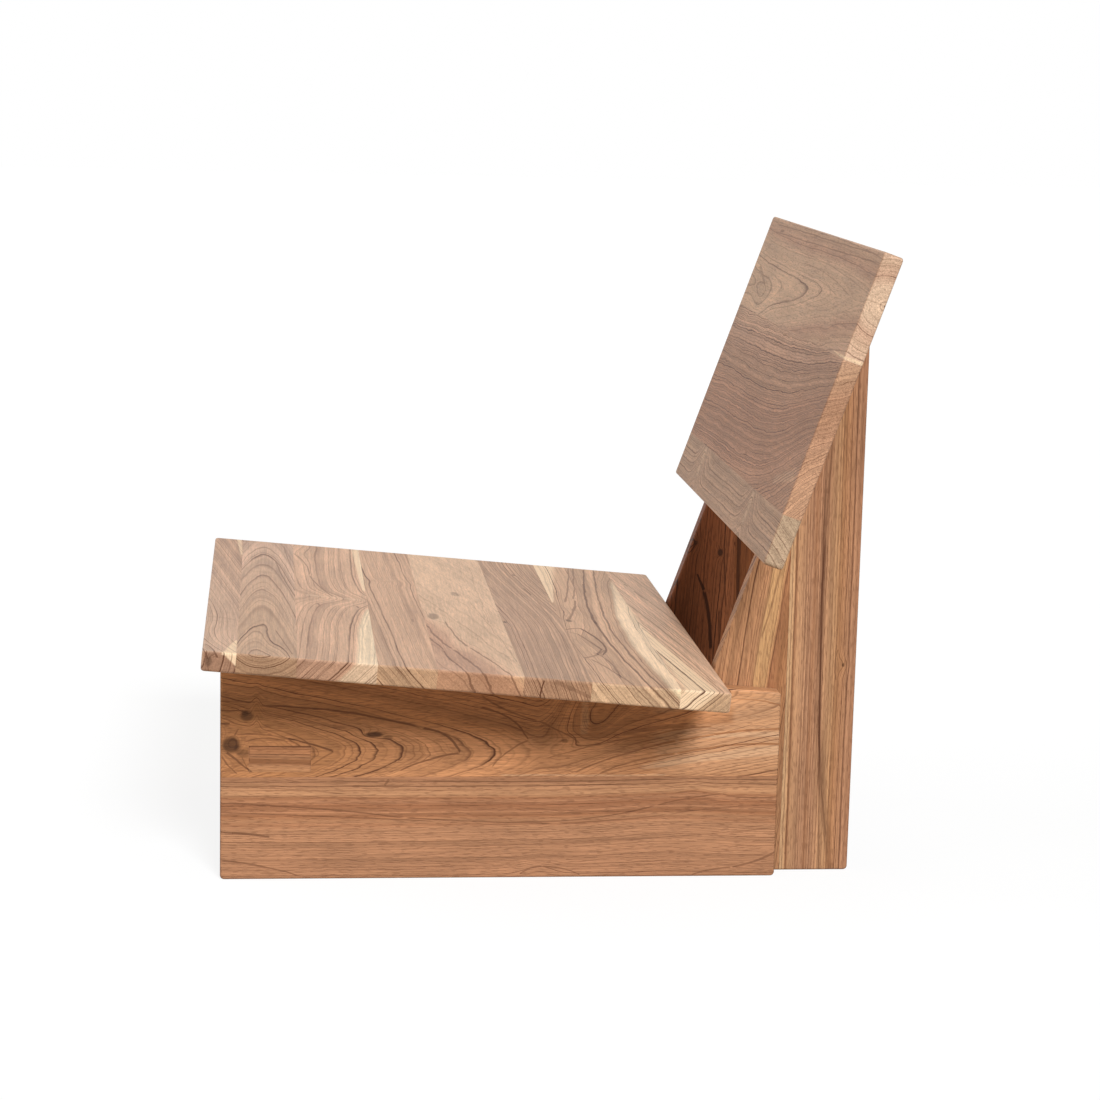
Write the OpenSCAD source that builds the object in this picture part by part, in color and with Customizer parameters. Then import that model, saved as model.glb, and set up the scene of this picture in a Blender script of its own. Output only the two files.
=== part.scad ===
// Lounge chair of solid teak boards: a sloping seat and a leaning backrest on two board sides.
// X runs to the sitter's left, Y to the back and Z up. The origin is on the floor,
// under the middle of the chair. Lengths are millimetres and angles are degrees.

/* [Boards] */
// Thickness that every teak board is planed to
board = 24; // [20:1:30]
// Radius of the eased arrises
arris = 3; // [1:0.5:4]
// Radius of the corners of each board's outline
corner = 5; // [5:0.5:9]

/* [Seat] */
// Width of the seat from side to side
seat_w = 740; // [660:10:840]
// Height of the seat's front edge above the floor
seat_h = 312; // [280:1:360]
// Slope of the seat down to the back
seat_slope = 4.7; // [3:0.1:7]
// Width of the front stave
seat_stave_1_w = 39; // [30:1:60]
// Width of the second stave
seat_stave_2_w = 69; // [60:1:100]
// Width of the third stave
seat_stave_3_w = 92; // [60:1:120]
// Width of the fourth stave
seat_stave_4_w = 69; // [60:1:120]
// Width of the fifth stave
seat_stave_5_w = 100; // [60:1:120]
// Width of the sixth stave
seat_stave_6_w = 79; // [60:1:120]
// Width of the seventh stave
seat_stave_7_w = 104; // [80:1:120]
// Width of the rear stave
seat_stave_8_w = 60; // [50:1:90]

/* [Sides] */
// Width of the base over both sides
base_w = 466; // [420:2:540]
// How far the sides stand back from the seat's front edge
side_setback = 18; // [5:1:60]
// How far the sides run on behind the seat
side_tail = 86; // [60:1:140]
// Height of the lower board of each side
side_lower_h = 127; // [100:1:140]
// Length of the patch let into the left side
patch_l = 74; // [40:1:100]
// Height of the patch
patch_h = 32; // [20:1:40]
// Depth of the patch in the board
patch_t = 6; // [4:0.5:7]
// Distance of the patch from the side's front edge
patch_in = 34; // [20:1:80]
// Height of the patch above the glue joint
patch_up = 6.5; // [3:0.5:20]

/* [Posts] */
// Lean of the posts' front edge and of the backrest
back_lean = 19.3; // [16:0.1:22]
// How far the posts run on behind the sides
post_tail = 96; // [80:1:120]
// Width of the rear board of each post
post_rear_w = 86; // [78:1:94]
// Width left at the top of a post
post_top_w = 20; // [12:1:26]
// Gap between the seat and the posts
seat_gap = 0.3; // [0.2:0.1:1]

/* [Backrest] */
// Width of the backrest
back_w = 706; // [600:2:780]
// Height of the backrest's lower back edge above the seat's lower rear edge
back_rise = 165.5; // [155:0.5:180]
// Width of the lower stave
back_lower_w = 62; // [50:1:74]
// Width of the middle stave
back_middle_w = 191; // [180:1:205]
// Width of the upper stave
back_upper_w = 131; // [110:1:160]

/* [Rails and cleats] */
// Thickness of the rails under the seat
rail_t = 24; // [18:1:30]
// Height of the rails
rail_h = 88; // [70:1:110]
// Distance from the sides' front edge to the front rail
front_rail_in = 12; // [6:1:24]
// Distance from the seat's rear edge to the rear rail
rear_rail_in = 40; // [36:1:60]
// Width of the cleats that carry the seat
seat_cleat_w = 24; // [20:1:30]
// Height of the cleats that carry the seat
seat_cleat_h = 30; // [26:1:33]
// Width of the cleats behind the backrest
back_cleat_w = 24; // [20:1:30]
// Thickness of the cleats behind the backrest
back_cleat_t = 22; // [18:1:24]
// Length of the cleats behind the backrest
back_cleat_l = 280; // [270:1:290]
// Height of the cleats above the backrest's lower edge
back_cleat_up = 16; // [10:1:20]
// Play between wooden pieces that meet end to end
play = 0.3; // [0.1:0.1:0.6]

/* [Dowels and screws] */
// Diameter of the dowels
dowel_d = 8; // [6:1:10]
// Length of the dowels between boards
dowel_l = 30; // [24:1:32]
// Depth of the rail dowels in the sides
rail_dowel_in = 14; // [10:1:16]
// Length of the rail dowels
rail_dowel_l = 40; // [34:1:50]
// Diameter of the screws
screw_d = 4; // [3:0.5:5]
// Diameter of the screw heads
screw_head_d = 8; // [7:0.5:9]
// Length of the screws that go sideways into the sides and posts
side_screw_l = 40; // [36:1:42]
// Length of the screws that go up into the seat
seat_screw_l = 44; // [40:1:48]
// Length of the screws that go forward into the backrest
back_screw_l = 35; // [30:1:37]

/* [Hidden] */

// Colours of the wood and the metal
SEAT_COLOURS = ["#c9a983", "#c3a27c", "#caa981", "#bf9c75", "#d3b68e", "#b59573", "#c6a47a", "#cdae88"];
BACK_COLOURS = ["#ab9276", "#9c8067", "#a98f74"];
SIDE_COLOUR = "#c08a5c";
SIDE_UPPER_COLOUR = "#c6935f";
PATCH_COLOUR = "#ad7a50";
POST_COLOUR = "#b8865a";
INNER_COLOUR = "#a97c52";
DOWEL_COLOUR = "#d8bd92";
SCREW_COLOUR = "#b9bcbe";

// Small sizes that nothing else depends on
cut = 1;
screw_play = 0.1;
dowel_play = 0.1;
dowel_relief = 1;
screw_tip = 6;
recess_w = 0.9;
recess_l = 4;
recess_depth = 1.6;
head_rim = 0.4;
dowel_bevel = 0.8;
$fn = 48;

// The seat's joints, each as a distance from the front edge along the slope
STAVES = [seat_stave_1_w, seat_stave_2_w, seat_stave_3_w, seat_stave_4_w,
    seat_stave_5_w, seat_stave_6_w, seat_stave_7_w, seat_stave_8_w];
function joint(i) = i < 1 ? 0 : joint(i - 1) + STAVES[i - 1];
function stave_middle(i) = (joint(i - 1) + joint(i)) / 2;
seat_d = joint(len(STAVES));

// Height of the seat's underside at a distance behind its front edge
function underside(y) = seat_h - board / cos(seat_slope) - y * tan(seat_slope);

// Places from front to back, measured from the seat's front top edge
seat_rear = seat_d * cos(seat_slope) - board * sin(seat_slope);
side_rear = seat_rear + side_tail;
post_rear = side_rear + post_tail;
post_joint = post_rear - post_rear_w;
seat_front = arris * cos(seat_slope) - (board - arris) * sin(seat_slope) - arris;

// The leaning line that the posts' front edges and the backrest's back share
function lean_y(z) = seat_rear + seat_gap + (z - underside(seat_rear)) * tan(back_lean);
function lean_z(y) = underside(seat_rear) + (y - seat_rear - seat_gap) / tan(back_lean);
post_top = lean_z(post_rear - post_top_w);
back_h = underside(seat_rear) + back_rise;

// Places from side to side
side_out = base_w / 2;
side_in = side_out - board;
post_in = side_in - board;

back_d = back_lower_w + back_middle_w + back_upper_w;
back_joint_1 = back_lower_w;
back_joint_2 = back_lower_w + back_middle_w;
back_top_y = lean_y(back_h) + (back_d - arris) * sin(back_lean) - arris * cos(back_lean) + arris;
middle_y = (seat_front + max(post_rear, back_top_y)) / 2;

front_rail_y = side_setback + front_rail_in;
rear_rail_y = seat_rear - rear_rail_in - rail_t;
cleat_front = front_rail_y + rail_t + play;
cleat_rear = rear_rail_y - play;

// Where the dowels and screws sit
seat_dowel_x = 270;
back_dowel_x = 255;
side_dowel_in = 60;
side_dowel_count = 5;
post_dowel_first = 60;
post_dowel_step = 115;
post_dowel_count = 4;
rail_dowel_step = 44;
rail_dowel_down = 22;
post_screw_heights = [40, 86, 150];
post_screw_in = [24, 68];
back_screw_heights = [back_lower_w / 2, back_joint_1 + 48, back_joint_2 - 48, back_joint_2 + 24];
back_cleat_screw_heights = [48, 150, 244];

// A rectangle with rounded corners, from 0 to a and from 0 to b
module round_rect(a, b) {
    translate([arris, 0])
        square([a - 2 * arris, b]);
    translate([0, arris])
        square([a, b - 2 * arris]);
    for (x = [arris, a - arris], y = [arris, b - arris])
        translate([x, y])
            circle(arris);
}

// A disc as thick as a board with both its rims eased
module board_disc() {
    rotate_extrude()
        intersection() {
            translate([-corner, 0])
                round_rect(2 * corner, board);
            square([corner, board]);
        }
}

// What comes off a board that lies flat to round its outline at the corner p.
// The board's edges leave p at the angles low and high, with the wood between them.
// The rims are eased round a square corner.
module corner_cut(p, low, high) {
    half = (high - low) / 2;
    inward = [cos(low + half), sin(low + half)];
    middle = p + corner / sin(half) * inward;
    start = p + corner / tan(half) * [cos(low), sin(low)];
    stop = p + corner / tan(half) * [cos(high), sin(high)];
    difference() {
        translate([0, 0, -cut])
            linear_extrude(board + 2 * cut)
                polygon([middle, start, start + cut * [sin(low), -cos(low)],
                    p - cut / sin(half) * inward,
                    stop + cut * [-sin(high), cos(high)], stop]);
        translate(middle)
            if (high - low == 90)
                board_disc();
            else
                cylinder(r = corner, h = board);
    }
}

// A slab w wide and d deep with all its arrises eased, its top at z = 0 and its edge at y = 0
module slab(w, d) {
    translate([-w / 2, 0, -board])
        difference() {
            intersection() {
                translate([0, d, 0])
                    rotate([90, 0, 0])
                        linear_extrude(d)
                            round_rect(w, board);
                rotate([90, 0, 90])
                    linear_extrude(w)
                        round_rect(d, board);
            }
            corner_cut([0, 0], 0, 90);
            corner_cut([w, 0], 90, 180);
            corner_cut([w, d], 180, 270);
            corner_cut([0, d], 270, 360);
        }
}

// Everything is drawn from the seat's front edge and then set over the origin
module on_floor() {
    translate([0, -middle_y, 0])
        children();
}

module on_seat() {
    translate([0, 0, seat_h])
        rotate([-seat_slope, 0, 0])
            children();
}

module on_back() {
    translate([0, lean_y(back_h), back_h])
        rotate([-back_lean, 0, 0])
            children();
}

// A child on one side of the chair: 1 for the left and -1 for the right
module on_side(side) {
    if (side > 0)
        children();
    else
        mirror([1, 0, 0])
            children();
}

// A dowel along z with its middle at the origin
module dowel(l) {
    r = dowel_d / 2;
    rotate_extrude()
        polygon([[0, -l / 2], [r - dowel_bevel, -l / 2], [r, -l / 2 + dowel_bevel],
            [r, l / 2 - dowel_bevel], [r - dowel_bevel, l / 2], [0, l / 2]]);
}

module dowel_hole(l) {
    cylinder(d = dowel_d + 2 * dowel_play, h = l + 2 * dowel_relief, center = true);
}

// A countersunk wood screw along z with the flat of its head at the origin
module screw(l) {
    r = screw_d / 2;
    head = screw_head_d / 2;
    difference() {
        rotate_extrude()
            polygon([[0, 0], [head, 0], [head, head_rim], [r, head_rim + head - r],
                [r, l - screw_tip], [0, l]]);
        for (turn = [0, 90])
            rotate([0, 0, turn])
                translate([-recess_l / 2, -recess_w / 2, -cut])
                    cube([recess_l, recess_w, cut + recess_depth]);
    }
}

module screw_hole(l) {
    r = screw_d / 2 + screw_play;
    head = screw_head_d / 2 + screw_play;
    rotate_extrude()
        polygon([[0, -cut], [head, -cut], [head, head_rim], [r, head_rim + head - r],
            [r, l - screw_tip], [0, l + screw_play]]);
}

// Places of the dowels across one joint of the seat
module at_seat_dowels(i) {
    for (x = [-seat_dowel_x, 0, seat_dowel_x])
        on_seat()
            translate([x, joint(i), -board / 2])
                rotate([-90, 0, 0])
                    children();
}

// Places of the dowels across one joint of the backrest
module at_back_dowels(height) {
    for (x = [-back_dowel_x, 0, back_dowel_x])
        on_back()
            translate([x, -board / 2, height])
                children();
}

// Places of the dowels between the two boards of a side
module at_side_dowels() {
    run = side_rear - side_setback - 2 * side_dowel_in;
    for (k = [0 : side_dowel_count - 1])
        translate([(side_in + side_out) / 2,
            side_setback + side_dowel_in + run * k / (side_dowel_count - 1), side_lower_h])
            children();
}

// Places of the dowels between the two boards of a post
module at_post_dowels() {
    for (k = [0 : post_dowel_count - 1])
        translate([(post_in + side_in) / 2, post_joint, post_dowel_first + post_dowel_step * k])
            rotate([-90, 0, 0])
                children();
}

// Places of the dowels at a rail's end, with the middle of each dowel at the origin
module at_rail_dowels(y) {
    for (k = [0, 1])
        translate([side_in + rail_dowel_in - rail_dowel_l / 2, y + rail_t / 2,
            underside(y + rail_t) - rail_dowel_down - rail_dowel_step * k])
            rotate([0, 90, 0])
                children();
}

// Places of the screw up through a cleat into one stave of the seat
module at_seat_screw(i) {
    on_seat()
        translate([side_in - seat_cleat_w / 2, stave_middle(i), -board - seat_cleat_h])
            children();
}

// Places of the screws through a seat cleat into the side
module at_cleat_screws() {
    for (i = [2, 4, 6])
        translate([side_in - seat_cleat_w, joint(i) * cos(seat_slope),
            underside(joint(i)) - seat_cleat_h / 2])
            rotate([0, 90, 0])
                children();
}

// Places of the screws through a post into the side
module at_post_screws() {
    for (z = post_screw_heights, y = post_screw_in)
        translate([post_in, side_rear - y, z])
            rotate([0, 90, 0])
                children();
}

// Places of the screw forward through a cleat into the backrest
module at_back_screw(height) {
    on_back()
        translate([post_in - back_cleat_w / 2, back_cleat_t, height])
            rotate([90, 0, 0])
                children();
}

// Places of the screws through a backrest cleat into the post
module at_back_cleat_screws() {
    for (height = back_cleat_screw_heights)
        on_back()
            translate([post_in - back_cleat_w, back_cleat_t / 2, height])
                rotate([0, 90, 0])
                    children();
}

module both_sides() {
    on_side(1)
        children();
    on_side(-1)
        children();
}

// One stave of the seat, numbered from the front
module seat_stave(i) {
    color(SEAT_COLOURS[i - 1])
        on_floor()
            difference() {
                on_seat()
                    intersection() {
                        slab(seat_w, seat_d);
                        translate([-seat_w, joint(i - 1), -2 * board])
                            cube([2 * seat_w, STAVES[i - 1], 3 * board]);
                    }
                if (i > 1)
                    at_seat_dowels(i - 1)
                        dowel_hole(dowel_l);
                if (i < len(STAVES))
                    at_seat_dowels(i)
                        dowel_hole(dowel_l);
                if (i > 1 && i < len(STAVES))
                    both_sides()
                        at_seat_screw(i)
                            screw_hole(seat_screw_l);
            }
}

// One stave of the backrest between two heights along its slope
module backrest_stave(low, high, colour) {
    color(colour)
        on_floor()
            difference() {
                on_back()
                    intersection() {
                        translate([0, -board, 0])
                            rotate([90, 0, 0])
                                slab(back_w, back_d);
                        translate([-back_w, -2 * board, low])
                            cube([2 * back_w, 3 * board, high - low]);
                    }
                for (height = [back_joint_1, back_joint_2])
                    if (height == low || height == high)
                        at_back_dowels(height)
                            dowel_hole(dowel_l);
                for (height = back_screw_heights)
                    if (height > low && height < high)
                        both_sides()
                            at_back_screw(height)
                                screw_hole(back_screw_l);
            }
}

// The whole outline of a side seen from its face, as a board with eased arrises and round corners
module side_blank() {
    front_top = [side_setback, underside(side_setback)];
    rear_top = [side_rear, underside(side_rear)];
    difference() {
        intersection() {
            translate([side_in, 0, 0])
                rotate([90, 0, 90])
                    linear_extrude(board)
                        polygon([[side_setback, 0], [side_rear, 0], rear_top, front_top]);
            translate([side_in, side_setback, -cut])
                linear_extrude(seat_h)
                    round_rect(board, side_rear - side_setback);
            translate([side_in, side_rear + cut, 0])
                rotate([90, 0, 0])
                    linear_extrude(side_rear + 2 * cut)
                        round_rect(board, 2 * seat_h);
            on_seat()
                translate([side_in, seat_d + side_tail + post_tail, -board - 2 * seat_h])
                    rotate([90, 0, 0])
                        linear_extrude(2 * seat_d)
                            round_rect(board, 2 * seat_h);
        }
        translate([side_in, 0, 0])
            rotate([90, 0, 90]) {
                corner_cut([side_setback, 0], 0, 90);
                corner_cut([side_rear, 0], 90, 180);
                corner_cut(rear_top, 180 - seat_slope, 270);
                corner_cut(front_top, 270, 360 - seat_slope);
            }
    }
}

// Pocket for the patch in the left side's outer face
module patch_box(grow) {
    translate([side_out - patch_t, side_setback + patch_in - grow, side_lower_h + patch_up - grow])
        cube([patch_t + cut * sign(grow), patch_l + 2 * grow, patch_h + 2 * grow]);
}

module side_lower_board() {
    color(SIDE_COLOUR)
        on_floor()
            difference() {
                intersection() {
                    side_blank();
                    translate([0, -cut, -cut])
                        cube([base_w, post_rear, side_lower_h + cut]);
                }
                at_side_dowels()
                    dowel_hole(dowel_l);
                at_post_screws()
                    screw_hole(side_screw_l);
            }
}

module side_upper_board(patched) {
    color(SIDE_UPPER_COLOUR)
        on_floor()
            difference() {
                intersection() {
                    side_blank();
                    translate([0, -cut, side_lower_h])
                        cube([base_w, post_rear, seat_h]);
                }
                at_side_dowels()
                    dowel_hole(dowel_l);
                at_post_screws()
                    screw_hole(side_screw_l);
                at_cleat_screws()
                    screw_hole(side_screw_l);
                for (y = [front_rail_y, rear_rail_y])
                    at_rail_dowels(y)
                        dowel_hole(rail_dowel_l);
                if (patched)
                    patch_box(0.05);
            }
}

module left_side_patch() {
    color(PATCH_COLOUR)
        on_floor()
            patch_box(0);
}

// A post's whole outline: upright at the back and leaning at the front
module post_blank() {
    front_foot = [lean_y(0), 0];
    front_top = [post_rear - post_top_w, post_top];
    difference() {
        intersection() {
            translate([post_in, 0, 0])
                rotate([90, 0, 90])
                    linear_extrude(board)
                        polygon([front_foot, [post_rear, 0], [post_rear, post_top], front_top]);
            translate([post_in, 0, -cut])
                linear_extrude(post_top + 2 * cut)
                    round_rect(board, post_rear);
            translate([post_in, post_rear + cut, 0])
                rotate([90, 0, 0])
                    linear_extrude(post_rear)
                        round_rect(board, post_top);
            on_back()
                translate([post_in, 0, -2 * back_h])
                    linear_extrude(2 * back_h + back_d)
                        round_rect(board, post_rear);
        }
        translate([post_in, 0, 0])
            rotate([90, 0, 90]) {
                corner_cut(front_foot, 0, 90 - back_lean);
                corner_cut([post_rear, 0], 90, 180);
                corner_cut([post_rear, post_top], 180, 270);
                corner_cut(front_top, 270 - back_lean, 360);
            }
    }
}

module post_holes() {
    at_post_dowels()
        dowel_hole(dowel_l);
    at_post_screws()
        screw_hole(side_screw_l);
    at_back_cleat_screws()
        screw_hole(side_screw_l);
}

module post_front_board() {
    color(POST_COLOUR)
        on_floor()
            difference() {
                intersection() {
                    post_blank();
                    translate([0, 0, -cut])
                        cube([base_w, post_joint, post_top]);
                }
                post_holes();
            }
}

module post_rear_board() {
    color(POST_COLOUR)
        on_floor()
            difference() {
                intersection() {
                    post_blank();
                    translate([0, post_joint, -cut])
                        cube([base_w, post_rear, post_top + 2 * cut]);
                }
                post_holes();
            }
}

// A rail across the base, its top bevelled to the seat's underside
module rail(y) {
    color(INNER_COLOUR)
        on_floor()
            difference() {
                translate([-side_in, 0, 0])
                    rotate([90, 0, 90])
                        linear_extrude(2 * side_in)
                            polygon([[y, underside(y) - rail_h], [y + rail_t, underside(y) - rail_h],
                                [y + rail_t, underside(y + rail_t)], [y, underside(y)]]);
                both_sides()
                    at_rail_dowels(y)
                        dowel_hole(rail_dowel_l);
            }
}

module seat_cleat() {
    color(INNER_COLOUR)
        on_floor()
            difference() {
                translate([side_in - seat_cleat_w, 0, 0])
                    rotate([90, 0, 90])
                        linear_extrude(seat_cleat_w)
                            polygon([[cleat_front, underside(cleat_front) - seat_cleat_h],
                                [cleat_rear, underside(cleat_rear) - seat_cleat_h],
                                [cleat_rear, underside(cleat_rear)],
                                [cleat_front, underside(cleat_front)]]);
                for (i = [2 : len(STAVES) - 1])
                    at_seat_screw(i)
                        screw_hole(seat_screw_l);
                at_cleat_screws()
                    screw_hole(side_screw_l);
            }
}

module backrest_cleat() {
    color(INNER_COLOUR)
        on_floor()
            difference() {
                on_back()
                    translate([post_in - back_cleat_w, 0, back_cleat_up])
                        cube([back_cleat_w, back_cleat_t, back_cleat_l]);
                for (height = back_screw_heights)
                    at_back_screw(height)
                        screw_hole(back_screw_l);
                at_back_cleat_screws()
                    screw_hole(side_screw_l);
            }
}

module seat_stave_dowels() {
    color(DOWEL_COLOUR)
        on_floor()
            for (i = [1 : len(STAVES) - 1])
                at_seat_dowels(i)
                    dowel(dowel_l);
}

module backrest_stave_dowels() {
    color(DOWEL_COLOUR)
        on_floor()
            for (height = [back_joint_1, back_joint_2])
                at_back_dowels(height)
                    dowel(dowel_l);
}

module side_board_dowels() {
    color(DOWEL_COLOUR)
        on_floor()
            both_sides()
                at_side_dowels()
                    dowel(dowel_l);
}

module post_board_dowels() {
    color(DOWEL_COLOUR)
        on_floor()
            both_sides()
                at_post_dowels()
                    dowel(dowel_l);
}

module rail_dowels() {
    color(DOWEL_COLOUR)
        on_floor()
            for (y = [front_rail_y, rear_rail_y])
                both_sides()
                    at_rail_dowels(y)
                        dowel(rail_dowel_l);
}

module seat_screws() {
    color(SCREW_COLOUR)
        on_floor()
            both_sides()
                for (i = [2 : len(STAVES) - 1])
                    at_seat_screw(i)
                        screw(seat_screw_l);
}

module seat_cleat_screws() {
    color(SCREW_COLOUR)
        on_floor()
            both_sides()
                at_cleat_screws()
                    screw(side_screw_l);
}

module post_screws() {
    color(SCREW_COLOUR)
        on_floor()
            both_sides()
                at_post_screws()
                    screw(side_screw_l);
}

module backrest_screws() {
    color(SCREW_COLOUR)
        on_floor()
            both_sides()
                for (height = back_screw_heights)
                    at_back_screw(height)
                        screw(back_screw_l);
}

module backrest_cleat_screws() {
    color(SCREW_COLOUR)
        on_floor()
            both_sides()
                at_back_cleat_screws()
                    screw(side_screw_l);
}

seat_stave(1);  // seat_stave_1
seat_stave(2);  // seat_stave_2
seat_stave(3);  // seat_stave_3
seat_stave(4);  // seat_stave_4
seat_stave(5);  // seat_stave_5
seat_stave(6);  // seat_stave_6
seat_stave(7);  // seat_stave_7
seat_stave(8);  // seat_stave_8
backrest_stave(0, back_joint_1, BACK_COLOURS[0]);  // backrest_lower_stave
backrest_stave(back_joint_1, back_joint_2, BACK_COLOURS[1]);  // backrest_middle_stave
backrest_stave(back_joint_2, back_d, BACK_COLOURS[2]);  // backrest_upper_stave
on_side(1) side_lower_board();  // left_side_lower_board
on_side(1) side_upper_board(true);  // left_side_upper_board
left_side_patch();
on_side(-1) side_lower_board();  // right_side_lower_board
on_side(-1) side_upper_board(false);  // right_side_upper_board
on_side(1) post_front_board();  // left_post_front_board
on_side(1) post_rear_board();  // left_post_rear_board
on_side(-1) post_front_board();  // right_post_front_board
on_side(-1) post_rear_board();  // right_post_rear_board
rail(front_rail_y);  // front_rail
rail(rear_rail_y);  // rear_rail
on_side(1) seat_cleat();  // left_seat_cleat
on_side(-1) seat_cleat();  // right_seat_cleat
on_side(1) backrest_cleat();  // left_backrest_cleat
on_side(-1) backrest_cleat();  // right_backrest_cleat
seat_stave_dowels();
backrest_stave_dowels();
side_board_dowels();
post_board_dowels();
rail_dowels();
seat_screws();
seat_cleat_screws();
post_screws();
backrest_screws();
backrest_cleat_screws();
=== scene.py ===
"""Teak lounge chair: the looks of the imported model, laid out as an add-on and run as a script."""
from math import radians

import bmesh
import bpy
from bpy.props import FloatProperty, FloatVectorProperty, PointerProperty
from mathutils import Euler, Matrix, Vector

bl_info = {
    "name": "Teak Lounge Chair",
    "version": (1, 0, 0),
    "blender": (4, 5, 0),
    "location": "View3D > Sidebar > Lounge Chair",
    "description": "Dresses the boards of the lounge chair in oiled teak and sets a plain studio round it",
    "category": "Material",
}

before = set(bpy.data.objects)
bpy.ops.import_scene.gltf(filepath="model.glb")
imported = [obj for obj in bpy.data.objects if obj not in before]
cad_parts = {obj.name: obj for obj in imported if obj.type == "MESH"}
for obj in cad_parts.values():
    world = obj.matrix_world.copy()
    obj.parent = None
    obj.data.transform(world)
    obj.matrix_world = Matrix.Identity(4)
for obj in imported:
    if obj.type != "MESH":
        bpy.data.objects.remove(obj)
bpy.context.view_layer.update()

# Patterns that all the teak shares, along the grain and across it, in millimetres. Real fibres and pores are too
# fine to show, so these are as coarse as the render needs.
WAVER = (60, 16)        # the rings waver over a hand's width
SMALL_WAVER = (18, 6)   # and over a finger's
BENDS = (400, 110)      # the trunk's own bends
FADING = (90, 25)       # ways over which the dark lines weaken and strengthen
CLOUDS = (160, 45)      # broad light and dark parts
STREAKS = (110, 2.5)    # long streaks of the fibres
PORES = (10, 1.3)       # dashes of the pores
FIBRE_LENGTH = 28
# Other values that the teak boards share
END_TINT, END_LINES = (0.7, 0.665, 0.6), 1.7    # for boards without their own end and cut
PORE_DARK, SEAT_PORE_DARK = 0.32, 0.1           # strength of the pores' dashes, faint on the seat
SEED_STEP = (3.7, 1.9, 2.3)                     # how far apart two seeds lie in the noise
YEAR_RUNS = 0.045                               # runs of good and bad years in a millimetre
# Sizes of the other finishes' patterns, in metres
FLECK_WIDTH, FLECK_LENGTH = 0.001, 0.004    # the rays' flecks in beech
SPANGLE = 0.0017                            # the zinc's spangles
# Fixed values of the studio
FLOOR_REACH = 20.0                          # metres from the chair to the floor's edge
SEEN_FLOOR, SEEN_GLOW = "#707274", 0.85     # paint and glow, which the camera sees as white with a weak shadow
FILL_SPREAD, FILL_HEIGHT = radians(60), radians(28)
SENSOR = 36.0                               # width, in millimetres


def linear(code):
    """A #rrggbb sRGB colour as linear RGBA."""
    parts = [int(code[i:i + 2], 16) / 255 for i in (1, 3, 5)]
    return tuple(c / 12.92 if c <= 0.04045 else ((c + 0.055) / 1.055) ** 2.4 for c in parts) + (1.0,)


def fill_inputs(tree, node, inputs):
    """Links the sockets among the inputs to the node, and sets the other values."""
    for key, value in inputs.items():
        if isinstance(value, bpy.types.NodeSocket):
            tree.links.new(value, node.inputs[key])
        else:
            node.inputs[key].default_value = value


def add_node(tree, kind, inputs=None, **settings):
    """Adds a node with its settings and inputs. Returns its first output, or the node if it has none."""
    node = tree.nodes.new(kind)
    for name, value in settings.items():
        setattr(node, name, value)
    fill_inputs(tree, node, inputs or {})
    return node.outputs[0] if len(node.outputs) else node


def calc(tree, operation, *values, **settings):
    """Adds a Math node on these sockets and numbers. Returns its result."""
    return add_node(tree, "ShaderNodeMath", dict(enumerate(values)), operation=operation, **settings)


def vector(tree, operation, *values):
    """Adds a Vector Math node on these sockets and vectors. Returns its vector, or its number if it gives one."""
    out = add_node(tree, "ShaderNodeVectorMath", dict(enumerate(values)), operation=operation)
    return out.node.outputs["Value"] if operation in ("DOT_PRODUCT", "LENGTH") else out


def scale(tree, value, factor):
    """Adds a Vector Math node that multiplies a vector by a number."""
    return add_node(tree, "ShaderNodeVectorMath", {0: value, "Scale": factor}, operation="SCALE")


def remap(tree, value, start, stop, first=0.0, last=1.0, smooth=False):
    """Adds a Map Range node, which takes start to first and stop to last and holds them outside."""
    inputs = {"Value": value, "From Min": start, "From Max": stop, "To Min": first, "To Max": last}
    return add_node(tree, "ShaderNodeMapRange", inputs, interpolation_type="SMOOTHSTEP" if smooth else "LINEAR")


def mix(tree, factor, first, second):
    """Adds a Mix node for two colours. Returns its result."""
    return add_node(tree, "ShaderNodeMix", {0: factor, 6: first, 7: second}, data_type="RGBA").node.outputs[2]


def grain_noise(tree, place, size, shift, detail):
    """Adds noise in patches of a size along the grain and across it, in millimetres."""
    length, width = size
    at = vector(tree, "MULTIPLY_ADD", place, (1 / length, 1 / width, 1 / width), shift)
    return add_node(tree, "ShaderNodeTexNoise", {"Vector": at, "Scale": 1.0, "Detail": detail})


def new_group(name, inputs, outputs):
    """A node group with its sockets. Returns the tree and the group's inputs by name."""
    tree = bpy.data.node_groups.new(name, "ShaderNodeTree")
    for way, sockets in (("INPUT", inputs), ("OUTPUT", outputs)):
        for socket, kind in sockets:
            tree.interface.new_socket(socket, in_out=way, socket_type="NodeSocket" + kind)
    return tree, tree.nodes.new("NodeGroupInput").outputs


def new_material(name):
    """A material with an empty node tree. Returns both."""
    material = bpy.data.materials.new(name)
    material.use_nodes = True
    material.node_tree.nodes.clear()
    return material, material.node_tree


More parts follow.
